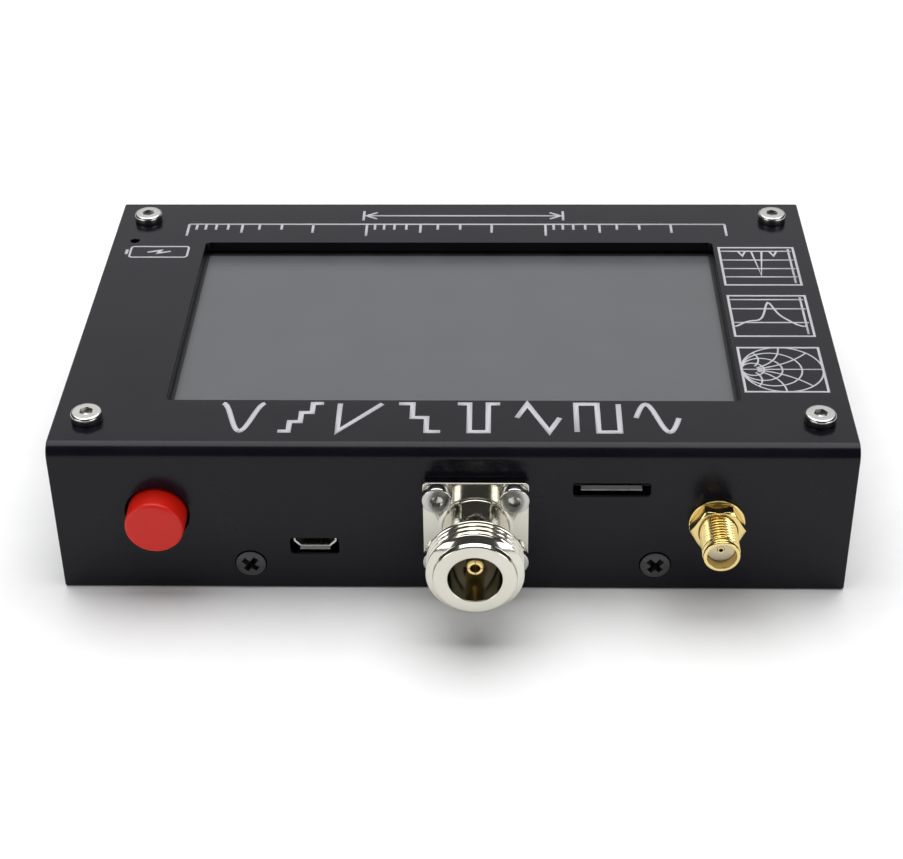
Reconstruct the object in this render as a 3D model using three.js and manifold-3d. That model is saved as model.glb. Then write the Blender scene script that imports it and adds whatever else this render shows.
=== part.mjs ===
// A handheld vector network analyzer for antennas, in millimetres, +Z up.
// The origin is the centre of the underside. The reader looks from the -Y side,
// +X is the reader's right, and the signal connectors stand on the +Y wall.

import * as THREE from 'three';
import { mergeVertices } from 'three/addons/utils/BufferGeometryUtils.js';
import Module from 'manifold-3d';

const wasm = await Module();
wasm.setup();

// ---- Driving dimensions ----------------------------------------------------

const WIDTH = 133;
const DEPTH = 86;
const HEIGHT = 29;
const SHEET = 2;              // aluminium sheet of both shells
const BEND = 2.4;             // outer radius of the sheet's bends
const GAP = 0.3;              // clearance around pieces that pass through others
const SEAT = 0.05;            // clearance under pieces that lie flat on others
const ROUND = 24;             // sides of a full circle

const WINDOW = { width: 96.8, height: 54.4, y: 1.5, corner: 0.8, recess: 2.5 };
const COVER_SCREW = { x: 60.8, y: 34.7, headRadius: 2.66, headHeight: 1.6 };
const CASE_SCREW = { x: 34.2, z: 5.15, headRadius: 2.5, proud: 0.45 };
const TAB = { width: 12, top: 9.5 };
const M3 = { hole: 1.55, core: 1.25, nutFlats: 5.5, nutHeight: 2.4, keyFlats: 2 };

const BUTTON = { x: 49.2, z: 15.5, radius: 4.95, proud: 4.2, behind: 4.5, travel: 2.5 };
const N_JACK = { x: -4, z: 14.6, flange: 17.5, flangeThick: 1.8, pitch: 12.7, reach: 16 };
const N_THREAD = { radius: 7.93, from: 10.4, to: 14.4 };
const SMA = { x: -44, z: 14.3, threadRadius: 3.1, reach: 9.4 };
const MICRO_USB = { x: 23.2, z: 9.1, width: 7.5, height: 2.6, depth: 5.2, recess: 1.2 };
const MINI_USB = { x: -44.05, z: 19.85, width: 7.4, height: 3.8, depth: 8.5, recess: 0.65 };
const CARD = { x: -26.4, z: 20.8, width: 12.7, height: 2.5 };
const LIGHT = { x: 62.3, y: -26.4, holeRadius: 0.8 };

const WALL = DEPTH / 2;                     // outer face of the two bent-down walls
const WALL_INSIDE = WALL - SHEET;
const TOP_INSIDE = HEIGHT - SHEET;

// Heights of the layers inside, from the window downwards.
const GLASS = { top: HEIGHT - WINDOW.recess, thick: 0.8, width: 105.5, height: 67.2 };
const PANEL = { top: GLASS.top - GLASS.thick - SEAT, thick: 2.4, width: 104.6, height: 66.4 };
const DISPLAY_BOARD = { top: 23.1, thick: 1.2, halfX: 63.8, front: -39.8, back: 39.8 };
const RADIO_BOARD = { top: 13.5, thick: 1.6, left: -63.6, right: 34, front: -30, back: 36 };
const CHARGE_BOARD = { top: 7.55, thick: 1.2, left: 14, right: 60, front: 10, back: 38.3 };
const BATTERY = { left: -56, right: 6, front: -36, back: 8, bottom: SHEET + SEAT, thick: 8.4 };
const SWITCH = { size: 8.5, front: 34.4, back: 25.4, boardThick: 1.4 };

const FINISH = {
  anodised: { color: 0x2a2a2e, roughness: 0.42, metalness: 0.35 },
  stainless: { color: 0xc8c8c4, roughness: 0.28, metalness: 1 },
  blackSteel: { color: 0x3a3a3e, roughness: 0.4, metalness: 0.7 },
  redPlastic: { color: 0xc02418, roughness: 0.38, metalness: 0 },
  blackPlastic: { color: 0x18181a, roughness: 0.6, metalness: 0 },
  whitePlastic: { color: 0xe8e4d8, roughness: 0.5, metalness: 0 },
  nickel: { color: 0xc8c0b8, roughness: 0.22, metalness: 1 },
  gold: { color: 0xd8b848, roughness: 0.25, metalness: 1 },
  tinned: { color: 0xc4c6c8, roughness: 0.32, metalness: 1 },
  brass: { color: 0xc0a050, roughness: 0.35, metalness: 1 },
  screen: { color: 0x787a7e, roughness: 0.12, metalness: 0 },
  circuit: { color: 0x14503a, roughness: 0.5, metalness: 0 },
  blackCircuit: { color: 0x17181c, roughness: 0.5, metalness: 0 },
  foil: { color: 0xb8bcc0, roughness: 0.35, metalness: 0.4 },
  redWire: { color: 0xb01818, roughness: 0.5, metalness: 0 },
  blackWire: { color: 0x141414, roughness: 0.5, metalness: 0 },
};

// ---- Solids and cuts -------------------------------------------------------

// A closed skin with its shared corners merged, as a solid for cutting and joining.
function solid(geometry) {
  const bare = geometry.clone();
  bare.deleteAttribute('normal');
  bare.deleteAttribute('uv');
  const merged = mergeVertices(bare);
  const corner = merged.index.array;
  const triangles = [];
  for (let i = 0; i < corner.length; i += 3) {
    const [a, b, c] = corner.slice(i, i + 3);
    if (a !== b && b !== c && c !== a) triangles.push(a, b, c);
  }
  return new wasm.Manifold(new wasm.Mesh({
    numProp: 3,
    vertProperties: new Float32Array(merged.attributes.position.array),
    triVerts: new Uint32Array(triangles),
  }));
}

function geometryOf(body) {
  const mesh = body.getMesh();
  const geometry = new THREE.BufferGeometry();
  geometry.setAttribute('position', new THREE.BufferAttribute(new Float32Array(mesh.vertProperties), 3));
  geometry.setIndex(new THREE.BufferAttribute(new Uint32Array(mesh.triVerts), 1));
  geometry.computeVertexNormals();
  return geometry;
}

const cut = (body, ...tools) => tools.reduce((rest, tool) => rest.subtract(tool), body);
const join = (body, ...others) => others.reduce((whole, other) => whole.add(other), body);

// ---- Basic shapes ----------------------------------------------------------

// A box between two opposite corners.
function block(low, high) {
  const size = high.map((value, i) => value - low[i]);
  const geometry = new THREE.BoxGeometry(...size);
  geometry.translate(...low.map((value, i) => value + size[i] / 2));
  return solid(geometry);
}

// Directions of a drawing's two axes and of its extrusion, for each extruded axis.
const DRAWN_ON = {
  x: [[0, 1, 0], [0, 0, 1], [1, 0, 0]],
  y: [[1, 0, 0], [0, 0, 1], [0, -1, 0]],
  z: [[1, 0, 0], [0, 1, 0], [0, 0, 1]],
};

// A drawing extruded along an axis, from one coordinate on it to another.
// Along x the drawing shows (y, z), along y it shows (x, z), along z it shows (x, y).
function prism(axis, shape, from, to) {
  const geometry = new THREE.ExtrudeGeometry(shape, {
    depth: to - from, bevelEnabled: false, curveSegments: 6,
  });
  const start = axis === 'y' ? to : from;
  const directions = DRAWN_ON[axis].map((d) => new THREE.Vector3(...d));
  geometry.applyMatrix4(new THREE.Matrix4().makeBasis(...directions));
  geometry.translate(axis === 'x' ? start : 0, axis === 'y' ? start : 0, axis === 'z' ? start : 0);
  return solid(geometry);
}

// Turns a shape that stands along +Y onto another axis.
function turnOnto(axis, geometry) {
  if (axis === 'z') geometry.rotateX(Math.PI / 2);
  if (axis === 'x') geometry.rotateZ(-Math.PI / 2);
  return geometry;
}

// A round bar along an axis. centre holds the two other coordinates, in x, y, z order.
function rod(axis, radius, from, to, centre = [0, 0], sides = ROUND) {
  const geometry = turnOnto(axis, new THREE.CylinderGeometry(radius, radius, to - from, sides));
  const along = (from + to) / 2;
  const place = { x: [along, ...centre], y: [centre[0], along, centre[1]], z: [...centre, along] };
  geometry.translate(...place[axis]);
  return solid(geometry);
}

// A turned piece. The profile is a closed run of [radius, height] points,
// anticlockwise with the radius to the right; it starts and ends on the axis or at one point.
function turned(axis, profile, sides = ROUND) {
  const points = profile.map(([radius, height]) => new THREE.Vector2(radius, height));
  return solid(turnOnto(axis, new THREE.LatheGeometry(points, sides)));
}

// A ring or tube: a turned rectangle that closes on itself.
function ring(axis, inner, outer, from, to, sides = ROUND) {
  const profile = [[inner, from], [outer, from], [outer, to], [inner, to], [inner, from]];
  return turned(axis, profile, sides);
}

function roundedRect(width, height, radius, x = 0, y = 0) {
  const shape = new THREE.Shape();
  const right = x + width / 2 - radius;
  const left = x - width / 2 + radius;
  const top = y + height / 2 - radius;
  const bottom = y - height / 2 + radius;
  shape.absarc(right, bottom, radius, -Math.PI / 2, 0);
  shape.absarc(right, top, radius, 0, Math.PI / 2);
  shape.absarc(left, top, radius, Math.PI / 2, Math.PI);
  shape.absarc(left, bottom, radius, Math.PI, 1.5 * Math.PI);
  return shape;
}

function polygon(sides, flats, turn = 0) {
  const radius = flats / 2 / Math.cos(Math.PI / sides);
  const points = [];
  for (let i = 0; i < sides; i += 1) {
    const angle = turn + (2 * Math.PI * i) / sides;
    points.push(new THREE.Vector2(radius * Math.cos(angle), radius * Math.sin(angle)));
  }
  return new THREE.Shape(points);
}

function outline(points) {
  return new THREE.Shape(points.map(([u, v]) => new THREE.Vector2(u, v)));
}

// ---- The finished group ----------------------------------------------------

const analyzer = new THREE.Group();

function addPiece(parent, name, finish, body) {
  const mesh = new THREE.Mesh(geometryOf(body), new THREE.MeshStandardMaterial(FINISH[finish]));
  mesh.name = name;
  parent.add(mesh);
  return mesh;
}

// A group at a place on the connector wall, whose own y is 0 at the wall's outer face.
function wallGroup(feature) {
  const group = new THREE.Group();
  group.position.set(feature.x, WALL, feature.z);
  analyzer.add(group);
  return group;
}

// ---- Shells ----------------------------------------------------------------

// Half of a U section's outline, walked outside then inside; side is -1 or 1.
function coverSection() {
  const shape = new THREE.Shape();
  const quarter = Math.PI / 2;
  shape.moveTo(WALL, 0);
  shape.absarc(WALL - BEND, HEIGHT - BEND, BEND, 0, quarter);
  shape.absarc(-WALL + BEND, HEIGHT - BEND, BEND, quarter, Math.PI);
  shape.lineTo(-WALL, 0);
  shape.lineTo(-WALL_INSIDE, 0);
  shape.absarc(-WALL + BEND, HEIGHT - BEND, BEND - SHEET, Math.PI, quarter, true);
  shape.absarc(WALL - BEND, HEIGHT - BEND, BEND - SHEET, quarter, 0, true);
  shape.lineTo(WALL_INSIDE, 0);
  return shape;
}

function throughWall(shape, side = 1) {
  const inside = side * (WALL_INSIDE - 1);
  const outside = side * (WALL + 1);
  return prism('y', shape, Math.min(inside, outside), Math.max(inside, outside));
}

function roundThroughWall(radius, x, z, side = 1) {
  const inside = side * (WALL_INSIDE - 1);
  const outside = side * (WALL + 1);
  return rod('y', radius, Math.min(inside, outside), Math.max(inside, outside), [x, z]);
}

// The hole and its countersink for a case screw. It points along +Y before it is turned.
function caseScrewHole(x, side) {
  const wide = CASE_SCREW.headRadius + 0.15;
  const narrow = M3.hole;
  const sinkDepth = 1.3;
  const profile = [
    [0, -SHEET - 1], [narrow, -SHEET - 1], [narrow, -sinkDepth], [wide, 0], [wide, 1], [0, 1],
  ];
  const points = profile.map(([radius, height]) => new THREE.Vector2(radius, height));
  const geometry = new THREE.LatheGeometry(points, ROUND);
  if (side < 0) geometry.rotateX(Math.PI);
  geometry.translate(x, side * WALL, CASE_SCREW.z);
  return solid(geometry);
}

function topCover() {
  const corners = roundedRect(WINDOW.width, WINDOW.height, WINDOW.corner, 0, WINDOW.y);
  const holes = [
    prism('z', corners, TOP_INSIDE - 1, HEIGHT + 1),
    rod('z', LIGHT.holeRadius, TOP_INSIDE - 1, HEIGHT + 1, [LIGHT.x, LIGHT.y], 12),
    roundThroughWall(BUTTON.radius + 0.35, BUTTON.x, BUTTON.z),
    roundThroughWall(5.6, N_JACK.x, N_JACK.z),
    roundThroughWall(SMA.threadRadius + 0.3, SMA.x, SMA.z),
    throughWall(roundedRect(8.2, 3.2, 0.5, MICRO_USB.x, 8.85)),
    throughWall(roundedRect(CARD.width, CARD.height, 0.4, CARD.x, CARD.z)),
    throughWall(roundedRect(7.9, 4.8, 0.6, MINI_USB.x, MINI_USB.z), -1),
  ];
  for (const sideX of [-1, 1]) {
    for (const sideY of [-1, 1]) {
      const centre = [sideX * COVER_SCREW.x, sideY * COVER_SCREW.y];
      holes.push(rod('z', M3.hole, TOP_INSIDE - 1, HEIGHT + 1, centre, 16));
      holes.push(caseScrewHole(sideX * CASE_SCREW.x, sideY));
      const flangeX = N_JACK.x + (sideX * N_JACK.pitch) / 2;
      const flangeZ = N_JACK.z + (sideY * N_JACK.pitch) / 2;
      holes.push(rod('y', M3.hole, WALL_INSIDE - 1, WALL + 1, [flangeX, flangeZ], 16));
    }
  }
  return cut(prism('x', coverSection(), -WIDTH / 2, WIDTH / 2), ...holes);
}

function traySection() {
  const shape = new THREE.Shape();
  const half = WIDTH / 2;
  const rim = TOP_INSIDE - GAP;
  const quarter = Math.PI / 2;
  shape.moveTo(half, rim);
  shape.lineTo(half - SHEET, rim);
  shape.absarc(half - BEND, BEND, BEND - SHEET, 0, -quarter, true);
  shape.absarc(-half + BEND, BEND, BEND - SHEET, -quarter, -Math.PI, true);
  shape.lineTo(-half + SHEET, rim);
  shape.lineTo(-half, rim);
  shape.absarc(-half + BEND, BEND, BEND, Math.PI, 3 * quarter);
  shape.absarc(half - BEND, BEND, BEND, -quarter, 0);
  return shape;
}

// Bottom and side walls, with four tabs bent up where the case screws bite.
function baseTray() {
  const reach = WALL_INSIDE - GAP;
  let tray = prism('y', traySection(), -reach, reach);
  for (const sideX of [-1, 1]) {
    for (const sideY of [-1, 1]) {
      const x = sideX * CASE_SCREW.x;
      const inside = sideY * (reach - SHEET);
      const outside = sideY * reach;
      const low = [x - TAB.width / 2, Math.min(inside, outside), SHEET / 2];
      const high = [x + TAB.width / 2, Math.max(inside, outside), TAB.top];
      const hole = rod('y', M3.hole, low[1] - 1, high[1] + 1, [x, CASE_SCREW.z], 16);
      tray = cut(join(tray, block(low, high)), hole);
    }
  }
  return tray;
}

// ---- Fasteners, drawn head up with the seat at height 0 ---------------------

function keySocket(top, depth) {
  return prism('z', polygon(6, M3.keyFlats), top - depth, top + 1);
}

function coverScrew() {
  const { headRadius: r, headHeight: h } = COVER_SCREW;
  const shank = 3.9;
  const profile = [
    [0, -shank], [M3.core, -shank], [M3.core, 0], [r * 0.96, 0], [r, 0.15], [r, h * 0.52],
    [r * 0.93, h * 0.8], [r * 0.76, h], [0, h],
  ];
  return cut(turned('z', profile, 20), keySocket(h, 1.1));
}

function caseScrew() {
  const r = CASE_SCREW.headRadius;
  const shank = 5.2;
  const profile = [
    [0, -shank], [M3.core, -shank], [M3.core, -1.25], [r, -0.05], [r, 0.12],
    [r * 0.72, CASE_SCREW.proud * 0.85], [0, CASE_SCREW.proud],
  ];
  const slot = { long: 1.5, wide: 0.36, deep: 1 };
  const bottom = CASE_SCREW.proud - slot.deep;
  const across = block([-slot.long, -slot.wide, bottom], [slot.long, slot.wide, 1]);
  const along = block([-slot.wide, -slot.long, bottom], [slot.wide, slot.long, 1]);
  return cut(turned('z', profile, 20), across, along);
}

function flangeScrew() {
  const headRadius = 2.5;
  const headHeight = 1.7;
  const shank = 7.1;
  const profile = [
    [0, -shank], [M3.core, -shank], [M3.core, 0], [headRadius, 0],
    [headRadius, headHeight - 0.25], [headRadius - 0.25, headHeight], [0, headHeight],
  ];
  return cut(turned('z', profile, 20), keySocket(headHeight, 1));
}

function hexNut(flats, height, holeRadius) {
  return cut(prism('z', polygon(6, flats), 0, height), rod('z', holeRadius, -1, height + 1, [0, 0], 16));
}

function boardScrew() {
  const headRadius = 2.6;
  const headHeight = 1.6;
  const shank = 3;
  const profile = [
    [0, -shank], [M3.core, -shank], [M3.core, 0], [headRadius, 0],
    [headRadius, headHeight * 0.5], [headRadius * 0.8, headHeight], [0, headHeight],
  ];
  return turned('z', profile, 16);
}

// Puts one copy of a fastener at each of four places; turn tips its head off +Z.
function addFour(parent, name, finish, body, place, turn = () => 0) {
  let number = 0;
  for (const sideY of [-1, 1]) {
    for (const sideX of [-1, 1]) {
      number += 1;
      const piece = addPiece(parent, `${name}_${number}`, finish, body);
      piece.position.set(...place(sideX, sideY));
      piece.rotation.x = turn(sideY);
    }
  }
}

function addCase() {
  addPiece(analyzer, 'top_cover', 'anodised', topCover());
  addPiece(analyzer, 'base_tray', 'anodised', baseTray());
  const { x, y } = COVER_SCREW;
  addFour(analyzer, 'cover_screw', 'stainless', coverScrew(),
    (sideX, sideY) => [sideX * x, sideY * y, HEIGHT + SEAT]);
  addFour(analyzer, 'case_screw', 'blackSteel', caseScrew(),
    (sideX, sideY) => [sideX * CASE_SCREW.x, sideY * (WALL + SEAT), CASE_SCREW.z],
    (sideY) => (-sideY * Math.PI) / 2);
}

// ---- Power switch ----------------------------------------------------------

const PLUNGER = { half: 1.4, back: 30.4, front: WALL + BUTTON.proud - 2 };

function powerButtonCap() {
  const { radius, proud, behind } = BUTTON;
  const edge = 0.6;
  const socket = PLUNGER.half * 1.46;
  const socketEnd = PLUNGER.front - WALL + SEAT;
  const profile = [
    [socket, -behind], [radius, -behind], [radius, proud - edge],
    [radius - edge * 0.3, proud - edge * 0.3], [radius - edge, proud], [0, proud],
    [0, socketEnd], [socket, socketEnd], [socket, -behind],
  ];
  return turned('y', profile);
}

function switchPlunger() {
  const { half, back, front } = PLUNGER;
  return block([-half, back - WALL, -half], [half, front - WALL, half]);
}

function switchHousing() {
  const half = SWITCH.size / 2;
  const bore = PLUNGER.half + GAP;
  const boreEnd = PLUNGER.back - BUTTON.travel - 1;
  const body = block([-half, SWITCH.back - WALL, -half], [half, SWITCH.front - WALL, half]);
  return cut(body, block([-bore, boreEnd - WALL, -bore], [bore, SWITCH.front - WALL + 1, bore]));
}

// A coil around the plunger, between the housing and the cap.
function switchSpring() {
  const wire = 0.2;
  const coilRadius = 2.45;
  const turns = 3;
  const start = SWITCH.front - WALL + wire + 0.1;
  const end = -BUTTON.behind - wire - 0.1;
  const points = [];
  const stepsPerTurn = 14;
  for (let i = 0; i <= turns * stepsPerTurn; i += 1) {
    const angle = (2 * Math.PI * i) / stepsPerTurn;
    const along = start + ((end - start) * i) / (turns * stepsPerTurn);
    points.push(new THREE.Vector3(coilRadius * Math.cos(angle), along, coilRadius * Math.sin(angle)));
  }
  const path = new THREE.CatmullRomCurve3(points);
  const section = polygon(6, 2 * wire);
  return solid(new THREE.ExtrudeGeometry(section, {
    steps: turns * stepsPerTurn, bevelEnabled: false, extrudePath: path,
  }));
}

function addPowerSwitch() {
  const group = wallGroup(BUTTON);
  addPiece(group, 'power_button_cap', 'redPlastic', powerButtonCap());
  addPiece(group, 'switch_plunger', 'whitePlastic', switchPlunger());
  addPiece(group, 'switch_housing', 'blackPlastic', switchHousing());
  addPiece(group, 'switch_spring', 'stainless', switchSpring());
  const boardFront = SWITCH.back - WALL - SEAT;
  const boardBack = boardFront - SWITCH.boardThick;
  const low = [-7, boardBack, CHARGE_BOARD.top + SEAT - BUTTON.z];
  const high = [7, boardFront, DISPLAY_BOARD.top - DISPLAY_BOARD.thick - GAP - BUTTON.z];
  addPiece(group, 'switch_board', 'circuit', block(low, high));
}

// ---- Antenna jack ----------------------------------------------------------

const N_BORE = 4.4;

function nJackBody() {
  const { flange, flangeThick, reach } = N_JACK;
  const { radius: thread, from: threadFrom, to: threadTo } = N_THREAD;
  const boss = 5.2;
  const neck = 5.5;
  const lip = 6.8;
  const chamfer = 0.5;
  const edge = 0.25;
  const back = -4.6;
  const core = turned('y', [
    [0, back], [boss, back], [boss, flangeThick / 2], [neck, flangeThick / 2], [neck, threadFrom],
    [thread - chamfer, threadFrom], [thread, threadFrom + chamfer], [thread, threadTo],
    [lip, threadTo + 0.7], [lip, reach - edge], [lip - edge, reach], [0, reach],
  ], 32);
  const plate = prism('y', roundedRect(flange, flange, 0.6), SEAT, flangeThick);
  const holes = [
    rod('y', N_BORE, back + 1, reach + 1, [0, 0], 32),
    rod('y', 2.4, back - 1, reach, [0, 0]),
  ];
  for (const sideX of [-1, 1]) {
    for (const sideZ of [-1, 1]) {
      const centre = [(sideX * N_JACK.pitch) / 2, (sideZ * N_JACK.pitch) / 2];
      holes.push(rod('y', M3.hole, -1, flangeThick + 1, centre, 16));
    }
  }
  return cut(join(core, plate), ...holes);
}

function nJackInsulator() {
  return ring('y', 1.85, N_BORE - GAP, -3.3, 3.6);
}

// The centre contact: a hollow front sleeve and a solder tail that reaches the radio board.
function nJackContact() {
  const sleeve = 1.5;
  const mouth = 0.85;
  const front = N_JACK.reach - 3;
  const tail = 0.75;
  return turned('y', [
    [0, -11], [tail, -11], [tail, -2.5], [sleeve, -2.5], [sleeve, front - 0.3],
    [sleeve - 0.3, front], [mouth, front], [mouth, front - 5], [0, front - 5],
  ], 16);
}

function addAntennaJack() {
  const group = wallGroup(N_JACK);
  addPiece(group, 'n_jack_body', 'nickel', nJackBody());
  addPiece(group, 'n_jack_insulator', 'whitePlastic', nJackInsulator());
  addPiece(group, 'n_jack_contact', 'gold', nJackContact());
  const half = N_JACK.pitch / 2;
  const seat = N_JACK.flangeThick + GAP / 3;
  addFour(group, 'n_jack_screw', 'stainless', flangeScrew(),
    (sideX, sideZ) => [sideX * half, seat, sideZ * half], () => -Math.PI / 2);
  addFour(group, 'n_jack_nut', 'stainless', hexNut(M3.nutFlats, M3.nutHeight, M3.hole),
    (sideX, sideZ) => [sideX * half, -SHEET - 0.1, sideZ * half], () => Math.PI / 2);
}

// ---- Small coaxial jack ----------------------------------------------------

const SMA_BORE = 2.3;
const SMA_HEX = 8;

function smaJackBody() {
  const { threadRadius, reach } = SMA;
  const hexBack = -SHEET - SEAT - 1.9;
  const chamfer = 0.35;
  const thread = turned('y', [
    [0, hexBack], [threadRadius, hexBack], [threadRadius, reach - chamfer],
    [threadRadius - chamfer, reach], [0, reach],
  ]);
  const hexagon = prism('y', polygon(6, SMA_HEX), hexBack, -SHEET - SEAT);
  const solderCup = rod('y', 1.9, hexBack - 2.5, hexBack + 1, [0, 0], 16);
  const bore = rod('y', SMA_BORE, hexBack + 0.5, reach + 1);
  const tailHole = rod('y', 1.1, hexBack - 4, reach, [0, 0], 16);
  return cut(join(thread, hexagon, solderCup), bore, tailHole);
}

function smaJackContact() {
  const radius = 0.64;
  const mouth = 0.42;
  const front = SMA.reach - 1.8;
  return turned('y', [
    [0, -9.5], [radius, -9.5], [radius, front], [mouth, front], [mouth, front - 3], [0, front - 3],
  ], 12);
}

function addSmallJack() {
  const group = wallGroup(SMA);
  const throat = SMA.threadRadius + 0.25;
  const washerTop = 0.6;
  addPiece(group, 'sma_jack_body', 'gold', smaJackBody());
  addPiece(group, 'sma_jack_washer', 'gold', ring('y', throat, 4.68, SEAT, washerTop));
  const nut = cut(prism('y', polygon(6, SMA_HEX), washerTop + SEAT, washerTop + 2.3),
    rod('y', throat, 0, 4));
  addPiece(group, 'sma_jack_nut', 'gold', nut);
  const insulator = ring('y', 0.9, SMA_BORE - 0.25, -2.9, SMA.reach - 1.9);
  addPiece(group, 'sma_jack_insulator', 'whitePlastic', insulator);
  addPiece(group, 'sma_jack_contact', 'gold', smaJackContact());
}

// ---- Ports -----------------------------------------------------------------

// A shell's outline: wide at one edge, drawn in at the other; up is 1 or -1 for the wide edge.
function portOutline({ width, height }, wideEdge, inset) {
  const half = width / 2 - inset;
  const rise = height / 2 - inset;
  const narrow = half - 0.9;
  const waist = rise * 0.25;
  const points = [
    [-narrow, -wideEdge * rise], [narrow, -wideEdge * rise], [half, -wideEdge * waist],
    [half, wideEdge * rise], [-half, wideEdge * rise], [-half, -wideEdge * waist],
  ];
  return outline(points);
}

// Shell and tongue of a port, drawn with the mouth at y = 0 and the body behind it.
function portShell(port, wideEdge) {
  const skin = 0.35;
  const backWall = 0.5;
  const outer = prism('y', portOutline(port, wideEdge, 0), -port.depth, 0);
  return cut(outer, prism('y', portOutline(port, wideEdge, skin), -port.depth + backWall, 1));
}

function portTongue(port, width, low, high) {
  return block([-width / 2, -port.depth + 0.8, low], [width / 2, -0.9, high]);
}

function addPorts() {
  const micro = new THREE.Group();
  micro.position.set(MICRO_USB.x, WALL - MICRO_USB.recess, MICRO_USB.z);
  addPiece(micro, 'micro_usb_shell', 'tinned', portShell(MICRO_USB, 1));
  addPiece(micro, 'micro_usb_tongue', 'blackPlastic', portTongue(MICRO_USB, 4, -0.1, 0.6));
  const mini = new THREE.Group();
  mini.position.set(MINI_USB.x, -WALL + MINI_USB.recess, MINI_USB.z);
  mini.rotation.z = Math.PI;
  addPiece(mini, 'mini_usb_shell', 'tinned', portShell(MINI_USB, -1));
  addPiece(mini, 'mini_usb_tongue', 'blackPlastic', portTongue(MINI_USB, 4.6, 0.2, 1.2));
  analyzer.add(micro, mini);
}

// The memory card's socket hangs under the display board behind the slot.
function addCardSocket() {
  const top = DISPLAY_BOARD.top - DISPLAY_BOARD.thick - SEAT;
  const bottom = top - 1.9;
  const back = 25.5;
  const front = WALL_INSIDE - 0.4;
  const skin = 0.25;
  const half = 7;
  const shell = cut(
    block([CARD.x - half, back, bottom], [CARD.x + half, front, top]),
    block([CARD.x - half + skin, back - 1, bottom + skin], [CARD.x + half - skin, front + 1, top + 1]),
  );
  const lip = block([CARD.x - 5.05, front - 1, bottom], [CARD.x + 5.05, WALL - 1, bottom + skin]);
  addPiece(analyzer, 'card_socket_shell', 'tinned', join(shell, lip));
  const baseHalf = CARD.width / 2 - 0.4;
  const baseLow = [CARD.x - baseHalf, back + 0.3, bottom + skin + 0.85];
  const baseHigh = [CARD.x + baseHalf, front - 1.3, top - SEAT];
  addPiece(analyzer, 'card_socket_base', 'blackPlastic', block(baseLow, baseHigh));
}

// ---- Display ---------------------------------------------------------------

function sheetPiece(layer) {
  const shape = roundedRect(layer.width, layer.height, 1, 0, WINDOW.y);
  return prism('z', shape, layer.top - layer.thick, layer.top);
}

function displayBoard() {
  const { top, thick, halfX, front, back } = DISPLAY_BOARD;
  const bottom = top - thick;
  const relief = { half: 10.5, front: 37 };
  let board = block([-halfX, front, bottom], [halfX, back, top]);
  board = cut(board, block(
    [N_JACK.x - relief.half, relief.front, bottom - 1],
    [N_JACK.x + relief.half, back + 1, top + 1],
  ));
  for (const sideX of [-1, 1]) {
    for (const sideY of [-1, 1]) {
      const centre = [sideX * COVER_SCREW.x, sideY * COVER_SCREW.y];
      board = cut(board, rod('z', M3.hole, bottom - 1, top + 1, centre, 16));
    }
  }
  return board;
}

function addDisplay() {
  addPiece(analyzer, 'screen_glass', 'screen', sheetPiece(GLASS));
  addPiece(analyzer, 'display_panel', 'tinned', sheetPiece(PANEL));
  addPiece(analyzer, 'display_board', 'circuit', displayBoard());
  const under = DISPLAY_BOARD.top - DISPLAY_BOARD.thick;
  const chip = { half: 12, thick: 1.4, x: 22, y: 6 };
  addPiece(analyzer, 'processor_chip', 'blackPlastic', block(
    [chip.x - chip.half, chip.y - chip.half, under - SEAT - chip.thick],
    [chip.x + chip.half, chip.y + chip.half, under - SEAT],
  ));
  const spacerLow = DISPLAY_BOARD.top + SEAT;
  const spacerHigh = TOP_INSIDE - SEAT;
  addFour(analyzer, 'corner_spacer', 'brass', hexNut(5.5, spacerHigh - spacerLow, M3.hole),
    (sideX, sideY) => [sideX * COVER_SCREW.x, sideY * COVER_SCREW.y, spacerLow]);
  addFour(analyzer, 'board_screw', 'stainless', boardScrew(),
    (sideX, sideY) => [sideX * COVER_SCREW.x, sideY * COVER_SCREW.y, under - 0.1], () => Math.PI);
  const light = turned('z', [
    [0, DISPLAY_BOARD.top + SEAT], [1.1, DISPLAY_BOARD.top + SEAT], [1.1, TOP_INSIDE - 0.8],
    [0.7, TOP_INSIDE - 0.3], [0, TOP_INSIDE - 0.2],
  ], 12);
  const lamp = addPiece(analyzer, 'charge_light', 'whitePlastic', light);
  lamp.position.set(LIGHT.x - 0.6, LIGHT.y, 0);
}

// ---- Radio board -----------------------------------------------------------

function shieldCan() {
  const low = RADIO_BOARD.top + SEAT;
  const high = low + 3.6;
  const can = { left: -26, right: 12, front: -2, back: 30 };
  const skin = 0.4;
  return cut(
    block([can.left, can.front, low], [can.right, can.back, high]),
    block([can.left + skin, can.front + skin, low - 1], [can.right - skin, can.back - skin, high - skin]),
  );
}

function addRadio() {
  const { top, thick, left, right, front, back } = RADIO_BOARD;
  addPiece(analyzer, 'radio_board', 'circuit', block([left, front, top - thick], [right, back, top]));
  addPiece(analyzer, 'shield_can', 'tinned', shieldCan());
  const headerHigh = DISPLAY_BOARD.top - DISPLAY_BOARD.thick - SEAT;
  const header = { long: 25.4, wide: 5 };
  const places = { left: -46, right: 12 };
  for (const [side, x] of Object.entries(places)) {
    addPiece(analyzer, `board_header_${side}`, 'blackPlastic', block(
      [x - header.long / 2, -24, top + SEAT],
      [x + header.long / 2, -24 + header.wide, headerHigh],
    ));
  }
}

// ---- Power -----------------------------------------------------------------

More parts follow.
